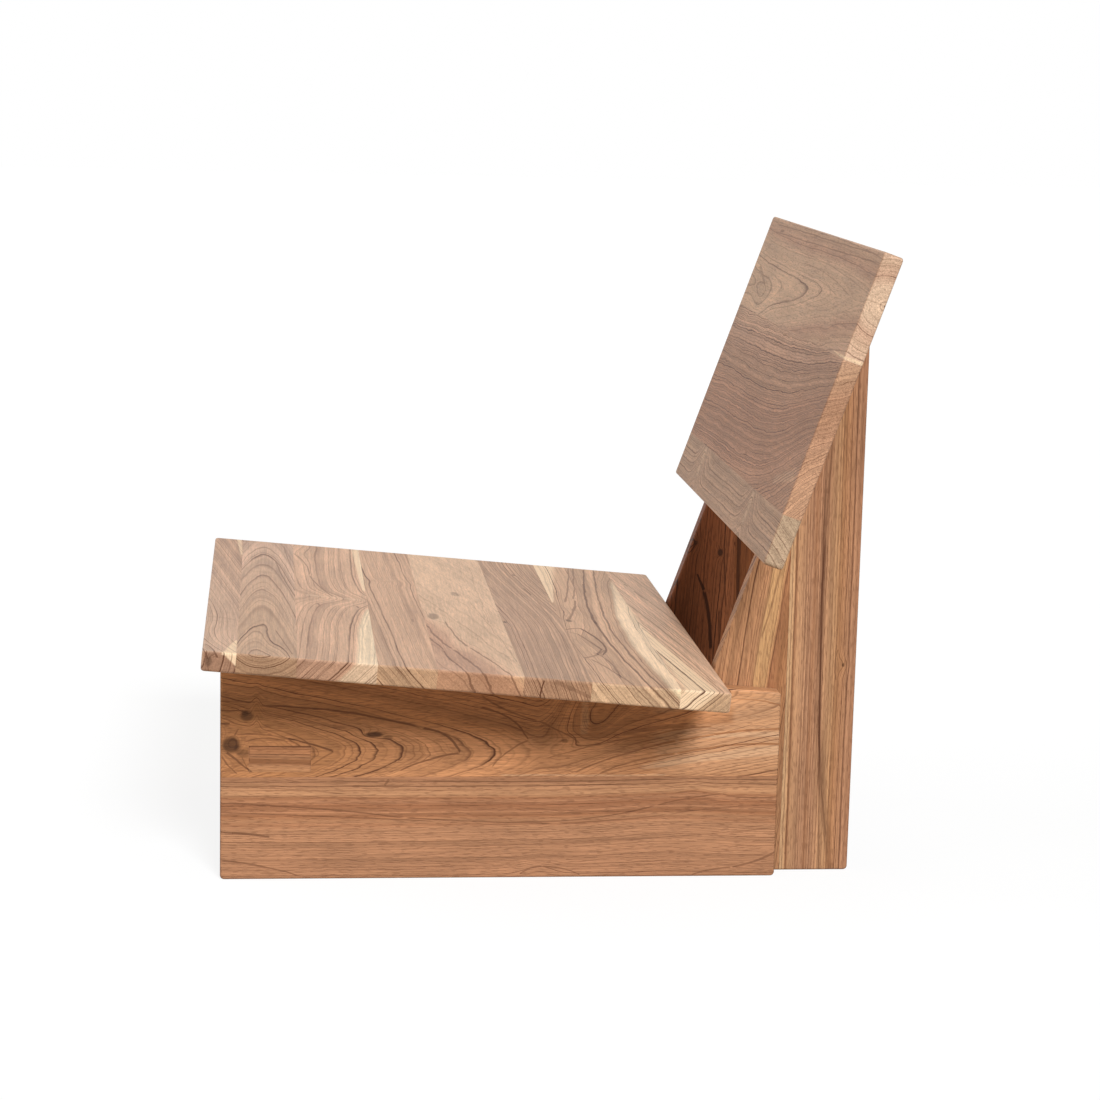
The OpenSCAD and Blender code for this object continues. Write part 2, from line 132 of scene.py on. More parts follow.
# Where the boards' own axes lie in the row frame, in metres: a corner, the way of the grain and the way across the
# board. The third axis, out of the board's show face, follows from these two.
X, Y, Z, FRONTWARD = (Vector(way) for way in ((1, 0, 0), (0, 1, 0), (0, 0, 1), (0, -1, 0)))
SEAT_SLOPE, BACK_LEAN = radians(4.7), radians(19.3)
SIDE_FRONT, POST_REAR = -0.395298, 0.394677
SEAT = (Vector((0, SIDE_FRONT, 0.312)), X, Euler((-SEAT_SLOPE, 0, 0)).to_matrix() @ Y)
BACK = (Vector((0, 0.2483, 0.41137)), X, Euler((-BACK_LEAN, 0, 0)).to_matrix() @ Z)
LEFT_SIDE = (Vector((0.233, SIDE_FRONT, 0)), Y, Z)
RIGHT_SIDE = (Vector((-0.209, SIDE_FRONT, 0)), Y, Z)
LEFT_POST = (Vector((0.209, POST_REAR, 0)), Z, FRONTWARD)
RIGHT_POST = (Vector((-0.185, POST_REAR, 0)), Z, FRONTWARD)
CROSS_RAIL = (Vector((0, 0, 0)), X, Z)


def plain(at, depth, seed):
    """A hidden board without a drawn figure. Its straight rings lie this far from the pith, in millimetres."""
    bands = ((0, "#a87a5a"), (600, "#a87a5a"))
    return dict(at=at, pith=(-depth, 0), flat=True, pull=(0, 0, 0.3), ring=5, seed=seed, bands=bands)


# The figure of every board, in millimetres in the board's own axes: along the grain, across the board, and out of its
# show face, where 0 is the face itself. Where the photograph shows a board, its figure is placed after it. That of the
# hidden boards is made up.
# pith: where the heart of the trunk lies (across, out). The rings are circles round it, ring wide; flat makes them
#   straight through the board, and across squashes them.
# pull: how fast the rings drift with a step along, across and out. lean: how fast the marks shift along the board
#   with a step out.
# bend: moves the pith between two places along the board (from, to, how far across, how far the rings drop).
# wander and ripple: how far the rings stray over long ways and waver over short ones.
# bands: the colours from the innermost ring to the outermost, at their distance. A program scaled them, and end, by
#   each board's mean colours in the photograph and in a render, except on the left upper side board and the hidden
#   boards. contrast: the strength of the dark lines. line: their colour.
# end: what the cut ends multiply the colour by, for the oil that darkens them and, on the seat and backrest, for
# painted light. cut: how much stronger the lines are there.
# seed: picks the board's own wavers, clouds and strong lines.
# swirls: swells in the rings (along, across, out, reach along, reach across, push, spread, dark). A dark one is a
#   knot.
# marks: single streaks (from along, across, to along, across, bow, first width, last width, strength). Below 0 they
#   are pale sapwood.
BOARDS = {
    # Painted sheen: the seat staves' pale, greyish bands hold part of the grey veil that the white room's reflection
    # lays on their tops, and their end values below 1 are partly the oil's darkening and partly take that painted
    # sheen off the cut ends.
    "seat_stave_1": dict(
        at=SEAT, pith=(-60, 30), pull=(-0.15, 0, 0.3), ring=5.5, seed=1, lean=-3, end=(0.60, 0.51, 0.46),
        bands=((60, "#c5a58e"), (130, "#bd9a82")),
        swirls=((300, -5, 0, 110, 60, 25, 0, 0), (372, 8, -12, 30, 6, 5, 6, 0.4)),
        marks=(
            (296, 38, 382, 30, 0, 1, 22, -0.95), (362, 30, 445, 42, 0, 22, 1, -0.95),
            (-370, 33, -250, 38, 0, 9, 3, -0.7), (-42, 1, -36, 39, 0, 8, 8, 0.1), (176, 1, 186, 39, 3, 9, 9, 0.15),
            (205, 0, 200, 30, 4, 10, 4, 0.12), (330, 2, 392, 16, 3, 2, 4, 0.7), (340, -4, 400, 4, 2, 2, 3, 0.7),
        ),
    ),
    "seat_stave_2": dict(
        at=SEAT, pith=(68, 30), pull=(-0.085, 0, 0), ring=6, end=(0.73, 0.68, 0.61), seed=2, contrast=1.3,
        bands=((20, "#bf9e84"), (80, "#c8a792")),
        swirls=((290, 78, 0, 60, 14, 6, 0, 0),),
        marks=(
            (-234, 83, 30, 111, -2, 2.2, 2.2, 0.55), (-355, 94, -104, 112, -1, 1.8, 1.8, 0.45),
            (224, 83, 354, 103, 0, 2, 2, 0.55), (-139, 50, -139, 84, 0, 14, 14, 0.12),
        ),
    ),
    "seat_stave_3": dict(
        at=SEAT, pith=(60, 0), flat=True, pull=(0.03, 0, -0.87), ring=9, end=(0.73, 0.67, 0.65), seed=3,
        bands=((0, "#cba68c"), (125, "#cea98e"), (130, "#ebd3b5"), (160, "#ebd3b5")),
        swirls=(
            (-2, 160, 0, 34, 110, -26, 0, 0), (-10, 160, 0, 110, 110, -14, 0, 0), (-300, 112, 0, 50, 22, 12, 0, 0),
        ),
        marks=(
            (-370, 194, -60, 198, 0, 12, 5, -0.8), (-299, 108, -146, 128, 6, 2.5, 2.5, 0.5),
            (-146, 128, -9, 157, -3, 2.5, 2.5, 0.55), (-9, 120, -4, 196, 0, 12, 9, -0.25),
            (40, 136, 60, 139, 1, 4, 3, 0.5), (36, 185, 50, 187, 1, 4, 3, 0.5),
        ),
    ),
    "seat_stave_4": dict(
        at=SEAT, pith=(180, 0), flat=True, pull=(-0.045, 0, 1), ring=8, end=(0.83, 0.81, 0.72), seed=4,
        bands=((0, "#c5a288"), (100, "#c9a489")),
        swirls=((-141, 235, 0, 20, 40, -5, 0, 0),),
        marks=(
            (-141, 202, -146, 240, 0, 6, 6, 0.12), (-32, 257, 96, 256, 2, 5, 9, 0.14),
            (90, 253, 108, 254, 0, 5, 3, 0.35),
        ),
    ),
    "seat_stave_5": dict(
        at=SEAT, pith=(240, 0), flat=True, across=0.5, pull=(-0.13, 0, 0.6), ring=8, ripple=7, seed=5, contrast=0.4,
        end=(0.78, 0.70, 0.61),
        bands=((-20, "#c69f86"), (-12, "#ba937b"), (2, "#c09980"), (8, "#cda88d"), (14, "#d3b296"), (110, "#d5b498")),
        swirls=((-99, 318, 0, 22, 9, 5, 0, 0.35), (62, 281, 0, 30, 9, 6, 0, 0.5), (230, 300, 0, 60, 12, 5, 0, 0)),
        marks=(
            (124, 250, 260, 281, 3, 3, 3.5, 0.6), (260, 281, 402, 309, -3, 3.5, 4, 0.65),
            (110, 268, 250, 294, -3, 3, 5, 0.6), (250, 294, 412, 328, 3, 5, 3.5, 0.6),
            (84, 294, 230, 314, -4, 3, 3.5, 0.6), (230, 314, 390, 357, 3, 3.5, 3.5, 0.6),
            (-60, 335, 308, 368, 2, 2, 2, 0.3), (-330, 352, 100, 350, 0, 1.6, 1.6, 0.2),
            (-110, 314, -90, 322, 2, 2, 2, 0.4),
        ),
    ),
    "seat_stave_6": dict(
        at=SEAT, pith=(285, 0), bend=(-400, 120, 55, 0), flat=True, pull=(0.01, 0, 0.5), ring=4.5,
        end=(0.83, 0.75, 0.67), seed=6, ripple=2.6, contrast=1.4, lean=-1.2,
        bands=((0, "#b5947d"), (140, "#b9977d")),
        swirls=((60, 372, 0, 9, 4, 1, 0, 0.6), (-274, 412, 0, 10, 4, 1, 0, 0.4)),
        marks=(
            (372, 391, 400, 376, 0, 2, 2, 1.1), (-182, 418, -136, 424, 0, 3.5, 3, 0.6),
            (372, 402, 392, 440, 0, 10, 6, 0.4), (-200, 402, 60, 425, 3, 2, 2, 0.4),
            (-100, 428, 200, 440, 2, 2, 2, 0.4),
        ),
    ),
    "seat_stave_7": dict(
        at=SEAT, pith=(400, 0), flat=True, pull=(0, 0, 1.1), ring=10, ripple=3.5, seed=7, end=(1.00, 1.05, 1.00),
        bands=((30, "#c4a084"), (143, "#c6a286"), (147, "#e2c7a9"), (170, "#e6cbad")),
        swirls=(
            (130, 505, 0, 200, 110, 19, 0, 0), (-60, 535, 0, 120, 60, 9, 0, 0), (-400, 550, 0, 110, 40, -20, 0, 0),
            (130, 470, 0, 50, 18, 14, 0, 0), (-30, 470, 0, 30, 14, -8, 0, 0), (16, 458, 0, 13, 6, 1, 0, 0.65),
        ),
        marks=(
            (-420, 462, -90, 448, 0, 56, 2, -0.85), (-372, 500, -100, 466, 1, 2.5, 3.5, 0.6),
            (-375, 506, -128, 480, 1, 2.5, 3, 0.55), (-128, 481, 12, 458, 4, 4, 4, 0.6),
            (-375, 522, 30, 492, -6, 3, 4.5, 0.8), (0, 492, 400, 520, -5, 4.5, 4, 0.8),
            (-375, 536, 52, 508, -5, 3, 3.5, 0.7), (30, 508, 400, 534, -5, 3.5, 3.5, 0.7),
            (82, 445, 60, 470, 4, 3, 4, 0.7), (60, 467, 172, 487, 6, 4, 4.5, 0.85), (168, 487, 214, 478, 2, 4, 3, 0.8),
            (88, 446, 100, 463, 1, 2, 3, 0.55), (97, 461, 182, 480, 1, 3, 4, 0.65),
            (178, 480, 207, 473, 1, 4, 3, 0.65), (180, 484, 240, 452, 5, 4, 6, 0.5),
            (200, 470, 340, 484, 8, 3, 3, 0.6), (240, 460, 390, 500, 4, 3, 3, 0.6),
        ),
    ),
    "seat_stave_8": dict(
        at=SEAT, pith=(455, 0), flat=True, pull=(-0.14, 0, -1), ring=7, seed=8, end=(0.77, 0.77, 0.69),
        bands=((40, "#ddb899"), (130, "#dbb599")),
        marks=(
            (0, 550, 430, 580, 0, 2, 58, -0.98), (-200, 551, 60, 555, 0, 3, 8, -0.5),
            (-232, 575, -165, 586, 0, 3, 2, 0.5), (-280, 567, -262, 570, 0, 2.5, 2.5, 0.5),
            (-140, 553, 160, 594, 2, 1.8, 2.5, 0.5), (-165, 586, 10, 611, 1, 1.6, 2, 0.35),
            (-30, 553, 330, 600, 4, 2, 3, 0.45),
        ),
    ),
    # Painted light: on the backrest staves the end values above 1 make the cut ends, which face the soft lamp, lighter
    # than the front faces, whose bands are darkened to the shade they stand in.
    "backrest_lower_stave": dict(
        at=BACK, pith=(-60, 0), flat=True, pull=(0, 0, -0.8), ring=5, ripple=3, seed=11, contrast=1.5,
        end=(1.03, 1.17, 1.21), cut=0.8,
        bands=((60, "#b6957c"), (125, "#b8977d")),
        swirls=((-205, 60, 0, 32, 60, -38, 0, 0), (168, 60, 0, 32, 60, -38, 0, 0)),
        marks=((-206, 62, -200, 20, 0, 20, 12, -0.2), (168, 60, 170, 14, 0, 20, 12, -0.2)),
    ),
    "backrest_middle_stave": dict(
        at=BACK, pith=(0, 0), flat=True, pull=(-0.025, 0, 1.0), ring=3.8, ripple=5, seed=12, contrast=3.0,
        end=(1.17, 1.21, 1.20), cut=0.5,
        bands=(
            (0, "#b99075"), (75, "#b2886e"), (110, "#a98066"), (150, "#b0866c"), (190, "#b89176"), (225, "#be977e"),
            (262, "#cea98e"),
        ),
        swirls=((430, 130, 0, 190, 115, -78, 0, 0),),
        marks=(
            (165, 123, 192, 124, 1, 4, 3, 0.4), (34, 88, 54, 88, 1, 4, 3, 0.4), (240, 86, 340, 110, 0, 12, 26, -0.2),
        ),
    ),
    "backrest_upper_stave": dict(
        at=BACK, pith=(291, -22), bend=(-330, 370, 34, 0), pull=(0.062, 0, 0), ring=6, ripple=2.5, seed=13,
        contrast=0.8, end=(1.22, 1.33, 1.41), cut=1.4,
        bands=((0, "#ceac90"), (45, "#ccaa8f"), (60, "#b69078"), (75, "#be9b81"), (100, "#c6a28a")),
        swirls=((-228, 258, 0, 60, 36, -14, 0, 0), (215, 262, 0, 30, 30, -5, 0, 0)),
        marks=(
            (-316, 314, -232, 292, 0, 9, 5, 0.35), (-317, 375, 345, 378, 0, 1.6, 2.2, 0.5),
            (-317, 364, 345, 369, 0, 1.6, 2.2, 0.5), (-100, 350, 366, 331, 6, 1.8, 2, 0.3),
            (366, 331, 190, 293, 6, 2, 1.6, 0.22), (-60, 338, 272, 322, 6, 1.8, 2, 0.3),
            (272, 322, 120, 290, 6, 2, 1.6, 0.22), (0, 326, 205, 316, 4, 1.6, 2, 0.3),
            (205, 316, 80, 292, 5, 2, 1.6, 0.22), (-265, 368, -242, 369, 0, 6, 4, 0.5),
            (290, 257, 420, 254, 0, 1, 8, -0.9),
        ),
    ),
    "left_side_lower_board": dict(
        at=LEFT_SIDE, pith=(-200, 0), flat=True, pull=(0, 0, 0.6), ring=4.2, ripple=1.6, wander=6, seed=21,
        contrast=1.0,
        bands=(
            (200, "#ae8061"), (262, "#b58665"), (268, "#a97959"), (272, "#af8160"), (279, "#a06f4f"), (283, "#aa7a5a"),
            (292, "#9d6c4d"), (297, "#ad7d5d"), (301, "#a67554"), (305, "#b58865"), (327, "#ab7c5c"),
        ),
        swirls=((560, 62, 0, 80, 50, -8, 0, 0), (403, 14, 0, 26, 12, -9, 0, 0), (592, 110, 0, 20, 16, -4, 0, 0)),
        marks=(
            (18, 24, 113, 4, 3, 3, 2, 0.6), (590, 2, 640, 12, 2, 2, 3, 0.5), (640, 12, 700, 34, -3, 3, 4, 0.55),
            (380, 4, 407, 14, 3, 2, 3, 0.5), (407, 14, 455, 3, 3, 3, 1.5, 0.55), (14, 60, 34, 58, 0, 3, 3, 0.6),
            (32, 58, 78, 53, 1, 4, 3, 0.7), (8, 95.5, 240, 76, 3, 2.4, 2.4, 0.6), (240, 76, 420, 68, -1, 2.4, 2, 0.55),
            (8, 84, 280, 71, 1, 2, 2, 0.5), (12, 116, 170, 105.5, 2, 2, 2, 0.4),
            (253, 123, 560, 124, -3, 2.4, 2.4, 0.4), (14, 104, 210, 101, 0, 2, 2, 0.4),
            (220, 124, 214, 116, 0, 4, 3, 0.5), (374, 88, 600, 84, -3, 2, 3, 0.4), (380, 71, 545, 90, -6, 2, 2.2, 0.5),
            (545, 90, 625, 104.5, 2, 2.2, 2.2, 0.5), (625, 104.5, 702, 102, -4, 2.2, 2, 0.45),
            (423, 69, 560, 79, -2, 2, 2, 0.45), (560, 79, 702, 90, 3, 2, 2, 0.4), (300, 40, 700, 62, -4, 2, 2, 0.35),
        ),
    ),
    "left_side_upper_board": dict(
        at=LEFT_SIDE, pith=(158, -50), bend=(395, 495, 75, 50), pull=(0.17, 0, 0), ring=5, ripple=3, contrast=1.2,
        seed=22,
        bands=((50, "#af7b54"), (72, "#b17d54"), (95, "#c18b62"), (400, "#bf8961")),
        swirls=(
            (31, 167, 0, 17, 16, 14, 0, 0.8), (41, 161, 0, 9, 10, 0, 0, 0.15), (46, 156, 0, 13, 8, 0, 0, 0.4),
            (49, 203, 0, 12, 11, 3, 0, 0.6), (47, 206, 0, 6, 6, 0, 0, 0.2), (61, 212, 0, 5, 22, -9, 0, 0),
            (201, 180, 0, 17, 5, 5, 0, 0.85), (218, 176, 0, 9, 4, 0, 0, 0.4), (431, 171, 0, 20, 9, 4, 5, 0),
            (431, 171, 0, 6, 4, 0, 0, 0.45), (470, 190, 0, 24, 26, -9, 0, 0),
        ),
        marks=(
            (63, 215, 258, 188, 6, 2.5, 3.5, 0.7), (258, 188, 306, 157, 7, 3.5, 4, 0.75),
            (306, 157, 232, 134, -3, 4, 2, 0.7), (328, 213, 388, 172, 9, 3, 3, 0.65),
            (388, 172, 343, 139, -4, 3, 2, 0.55), (328, 228, 399, 195, -3, 3, 3, 0.55),
            (399, 195, 450, 168, 2, 3, 2, 0.5), (455, 222, 455, 178, 0, 10, 14, -0.14),
            (442, 131, 568, 171, 4, 2.5, 3, 0.55), (568, 171, 697, 186, 3, 3, 2.5, 0.55),
            (473, 130, 568, 155, 4, 2, 3, 0.55), (568, 155, 697, 167, 4, 3, 2.5, 0.55),
            (408, 149, 536, 178, 3, 2, 2.5, 0.45), (536, 178, 611, 189, 2, 2.5, 2, 0.45),
            (350, 129, 560, 128, 0, 3, 3, -0.2), (520, 137, 760, 164, 4, 8, 22, -0.18),
            (530, 175, 990, 200, 0, 130, 150, -0.16), (590, 176, 760, 178, 2, 6, 10, -0.18),
            # The wide dark mark from 455 to 640 along is partly darker wood and partly painted shadow under the rear
            # of the seat's overhang.
            (455, 178, 640, 204, 4, 24, 30, 0.16), (500, 180, 592, 191, 2, 8, 8, 0.35),
            (639, 222, 697, 214, 3, 1.5, 2, 0.4), (36, 179, 108, 172, 4, 2, 2, 0.5),
            (98, 175.5, 153, 159, 0.5, 2, 3.5, 0.8), (153, 159, 127, 142, 0, 3, 2, 0.5),
            (127, 165, 135, 154.5, 2, 1.6, 1.6, 0.45), (135, 154.5, 126, 149, 0, 1.6, 1.6, 0.45),
            (46, 170, 100, 170, 5, 1.8, 1.8, 0.5), (16, 193, 30, 193, 0, 2.4, 2.4, 0.8),
            (25, 158, 54, 133, 1, 4, 2.4, 0.7), (20, 153, 38, 131, -1, 3, 1.8, 0.6),
            (44, 152, 53, 132, 0, 2, 1.6, 0.5), (35, 178, 40, 187, 0, 3, 1.6, 0.5), (12, 220, 60, 219.5, 0, 2, 2, 0.5),
            (12, 209.5, 46, 209.5, 0, 2.4, 2, 0.55), (64, 209.4, 170, 187, -2, 2.5, 6, 0.4),
        ),
    ),
    "left_side_patch": dict(
        at=LEFT_SIDE, pith=(-200, 0), flat=True, pull=(0.03, 0, 0.2), ring=7, ripple=1, wander=2, seed=23,
        bands=(
            (334, "#b9875f"), (344, "#b68560"), (347, "#a5724e"), (351, "#a7744f"), (354, "#b68560"), (360, "#b17d58"),
            (368, "#ab7854"),
        ),
        marks=(
            (50, 164.9, 128, 164.9, 0, 3, 3, 0.8), (52, 161.8, 127, 161.2, 0, 3, 2, 0.35),
            (51, 155.6, 127, 154.6, 0, 2, 2.4, 0.6), (51, 158.6, 127, 157.8, 0, 1.6, 1.6, 0.3),
            (50, 147.4, 128, 145.4, 0, 9, 7, 0.32), (125.4, 130, 125.4, 168, 0, 2, 2, 0.3),
            (52.6, 146, 52.6, 168, 0, 2.4, 2.4, 0.35), (50, 138, 56, 133, 0, 3, 3, 0.6),
            (60, 141, 118, 139, 1, 1.6, 1.6, 0.2),
        ),
    ),
    "right_side_lower_board": dict(
        at=RIGHT_SIDE, pith=(-300, 0), flat=True, pull=(0, 0, 0.4), ring=5, seed=31,
        bands=((0, "#b27e5d"), (600, "#b27e5d")),
    ),
    "right_side_upper_board": dict(
        at=RIGHT_SIDE, pith=(230, -40), pull=(0.06, 0, 0), ring=6, seed=32,
        bands=((0, "#b58058"), (300, "#b58058")),
    ),
    "left_post_front_board": dict(
        at=LEFT_POST, pith=(0, 0), flat=True, pull=(0.13, 0, 0.3), ring=5, seed=41, contrast=1.4,
        bands=(
            (100, "#ae815e"), (126, "#a3734f"), (138, "#a27150"), (142, "#c89c6f"), (156, "#c89d70"), (160, "#b28461"),
            (230, "#ae815e"),
        ),
        swirls=((420, 118, 0, 60, 12, 5, 0, 0),),
        marks=(
            (488, 79, 291, 120, 4, 3, 3, 0.5), (440, 95, 300, 122, 2, 2, 2, 0.4), (430, 130, 290, 150, 3, 2, 2, 0.4),
        ),
    ),
    "left_post_rear_board": dict(
        at=LEFT_POST, pith=(-100, 0), flat=True, pull=(0, 0, 0.3), ring=4.5, ripple=1.2, seed=42, contrast=1.6,
        bands=(
            (100, "#a97b5e"), (108, "#b38566"), (124, "#aa7c58"), (130, "#b98e69"), (150, "#b58869"), (156, "#a97b5b"),
            (160, "#b58869"), (176, "#b58b69"), (180, "#a17554"), (183, "#c39b75"), (188, "#cca780"),
        ),
        swirls=((260, 16, 0, 11, 6, 6, 0, 0), (260, 16, 0, 4, 2.5, 0, 0, 0.7)),
        marks=(
            (-40, 34, 680, 47, 5, 3, 3, 0.45), (-14, 19, 218, 46.5, 2.5, 10, 13, 0.36),
            (200, 46.5, 600, 40, 1, 13, 10, 0.36), (40, 28, 200, 44, 2, 3, 3, 0.3), (150, 42, 420, 44, 1, 3, 3, 0.3),
            (250, 48, 560, 40, 1, 2, 3, 0.3), (-20, 78, 660, 79, 0, 3, 3, 0.6), (-20, 55, 300, 57, 1, 2, 2, 0.4),
            (150, 62, 660, 60, -1, 2, 3, 0.4), (-20, 12, 660, 10, 0, 2, 2, 0.4), (240, 24, 280, 23, 3, 2, 2, 0.5),
        ),
    ),
    # Painted shade: the far post's two boards are darkened to a red-brown with dark lines, to the depth of the shade
    # that falls on it behind the near post and backrest.
    "right_post_front_board": dict(
        at=RIGHT_POST, pith=(0, 0), flat=True, pull=(0.06, 0, 0.3), ring=5.5, ripple=3.5, seed=51, contrast=1.6,
        line="#33190e",
        bands=((80, "#855236"), (110, "#905839"), (140, "#804c30"), (400, "#7d4b30")),
        swirls=((328, 106, 0, 8, 6, 7, 0, 0.9), (341, 140, 0, 12, 8, 8, 0, 0), (341, 140, 0, 5, 4, 0, 0, 0.8)),
        marks=(
            (192, 114, 276, 127, -2, 7, 6, 0.9), (276, 127, 299, 137, 0, 6, 3, 0.9), (345, 87, 262, 79, 3, 4, 2, 0.8),
            (250, 96, 380, 100, 2, 2, 2, 0.7), (260, 128, 360, 122, 2, 2, 2, 0.6), (341, 140, 370, 150, 2, 4, 1, 0.8),
            (341, 140, 325, 152, 2, 4, 1, 0.8), (120, 96, 250, 104, 3, 3, 3, 0.6),
        ),
    ),
    "right_post_rear_board": dict(
        at=RIGHT_POST, pith=(-100, 0), flat=True, pull=(0, 0, 0.3), ring=5, seed=52, contrast=1.6, line="#33190e",
        bands=((0, "#7c4a2c"), (300, "#7c4a2c")),
        marks=((240, 79, 400, 84, 0, 6, 6, 0.8),),
    ),
    "front_rail": plain(CROSS_RAIL, 200, 61),
    "rear_rail": plain(CROSS_RAIL, 300, 62),
    "left_seat_cleat": plain(LEFT_SIDE, 300, 63),
    "right_seat_cleat": plain(LEFT_SIDE, 350, 64),
    "left_backrest_cleat": plain(LEFT_POST, 300, 65),
    "right_backrest_cleat": plain(LEFT_POST, 350, 66),
}


COLOUR = dict(subtype="COLOR", size=4, min=0, max=1)
LENGTH = dict(unit="LENGTH")
ANGLE = dict(subtype="ANGLE", unit="ROTATION")


class TeakFinish(bpy.types.PropertyGroup):
    """Sizes and colours that all the teak boards share."""

    line: FloatVectorProperty(
        name="Late wood", description="Colour of the thin dark lines between the rings",
        default=linear("#5d3b2a"), **COLOUR)
    pale: FloatVectorProperty(
        name="Sapwood", description="Colour of the palest streaks", default=linear("#efd3b2"), **COLOUR)
    heart: FloatVectorProperty(
        name="Knot", description="Colour of the hearts of knots", default=linear("#3a2318"), **COLOUR)
    contrast: FloatProperty(
        name="Ring contrast", description="How dark the lines between the rings are",
        default=1.0, min=0, max=1, subtype="FACTOR")
    wander: FloatProperty(
        name="Wander", description="How far the rings stray from their course along a board",
        default=0.008, min=0, max=0.04, **LENGTH)
    ripple: FloatProperty(
        name="Ripple", description="How far the rings waver over a hand's width",
        default=0.002, min=0, max=0.01, **LENGTH)
    fibre: FloatProperty(
        name="Fibre",
        description="Width of the fine streaks along the grain. Real fibres are far finer, and these are as fine as "
        "the render shows",
        default=0.0014, min=0.0003, max=0.005, **LENGTH)
    roughness: FloatProperty(
        name="Roughness", description="Roughness of the oiled surface",
        default=0.48, min=0.1, max=1, subtype="FACTOR")
    relief: FloatProperty(
        name="Relief", description="Depth of the grain that sanding has left",
        default=0.00015, min=0, max=0.001, **LENGTH)


class StudioSettings(bpy.types.PropertyGroup):
    """The plain studio round the chair."""

    floor: FloatVectorProperty(
        name="Floor", description="Colour of the floor as the chair sees it. The camera sees it nearly white",
        default=linear("#b4a796"), **COLOUR)
    key: FloatProperty(
        name="Key light",
        description="Strength of the soft lamp on the camera's side, in watts per square metre",
        default=3.0, min=0, max=10)
    key_height: FloatProperty(
        name="Key height", description="Height of the soft lamp above the horizon",
        default=radians(35), min=0, max=radians(90), **ANGLE)
    key_turn: FloatProperty(
        name="Key turn", description="How far the soft lamp stands behind the chair's side",
        default=radians(14), min=radians(-90), max=radians(90), **ANGLE)
    key_spread: FloatProperty(
        name="Key spread", description="How wide the soft lamp looks from the chair, which softens its shadows",
        default=radians(18), min=0, max=radians(90), **ANGLE)
    fill: FloatProperty(
        name="Fill light", description="Strength of the wide lamp in front of the chair, in watts per square metre",
        default=1.0, min=0, max=10)
    room: FloatVectorProperty(
        name="Room",
        description="Colour of the light that the room throws back into the shade. The camera sees the room white",
        default=linear("#fff3e2"), **COLOUR)
    sky: FloatProperty(
        name="Room light", description="Strength of the white room round the chair", default=0.3, min=0, max=2)
    lens: FloatProperty(
        name="Lens", description="Focal length on a 36 mm sensor", default=0.0889, min=0.02, max=0.3, unit="CAMERA")
    stand: FloatVectorProperty(
        name="Camera", description="Where the camera stands",
        default=(3.4004, -0.3188, 0.9765), subtype="TRANSLATION", **LENGTH)
    aim: FloatVectorProperty(
        name="Aim", description="Elevation, roll and azimuth of the camera; azimuth 90 looks along -X",
        default=(radians(10.169), radians(1.369), radians(84.031)), subtype="EULER", unit="ROTATION")


def place_group():
    """Where a point of a board stood in the tree, whose grain bends over long ways and wavers over short ones."""
    tree, given = new_group(
        "Grown place",
        (("Place", "Vector"), ("Shift", "Vector"), ("Wander", "Float"), ("Ripple", "Float")),
        (("Place", "Vector"), ("Near", "Vector")),
    )
    place = given["Place"]
    steps = []
    turns = ((WAVER, "Ripple", 1.0, 1.0), (SMALL_WAVER, "Ripple", 0.45, 2.5), (BENDS, "Wander", 1.0, 1.0))
    for size, far, share, detail in turns:
        noise = grain_noise(tree, given["Place"], size, given["Shift"], detail).node.outputs["Color"]
        noise = vector(tree, "SUBTRACT", noise, (0.5, 0.5, 0.5))
        noise = scale(tree, noise, calc(tree, "MULTIPLY", given[far], share))
        place = vector(tree, "ADD", place, noise)
        steps.append(place)
    add_node(tree, "NodeGroupOutput", {"Place": steps[2], "Near": steps[1]})
    return tree


def swirl_group():
    """One swell in the growth rings. It pushes the rings aside round its centre, and can have a dark heart."""
    tree, given = new_group(
        "Ring swirl",
        (
            ("Place", "Vector"), ("Centre", "Vector"), ("Reach", "Vector"), ("Push", "Float"), ("Spread", "Float"),
            ("Dark", "Float"), ("Push before", "Float"), ("Dark before", "Float"),
        ),
        (("Push", "Float"), ("Dark", "Float")),
    )
    away = vector(tree, "SUBTRACT", given["Place"], given["Centre"])
    away = vector(tree, "DIVIDE", away, given["Reach"])
    near = calc(tree, "MULTIPLY", vector(tree, "DOT_PRODUCT", away, away), -1.0)
    near = calc(tree, "EXPONENT", near)
    side = add_node(tree, "ShaderNodeSeparateXYZ", {0: away}).node.outputs["Y"]
    push = calc(tree, "MULTIPLY_ADD", side, given["Spread"], given["Push"])
    push = calc(tree, "MULTIPLY_ADD", push, near, given["Push before"])
    heart = remap(tree, near, 0.5, 0.85, smooth=True)
    dark = calc(tree, "MULTIPLY_ADD", heart, given["Dark"], given["Dark before"])
    add_node(tree, "NodeGroupOutput", {"Push": push, "Dark": dark})
    return tree


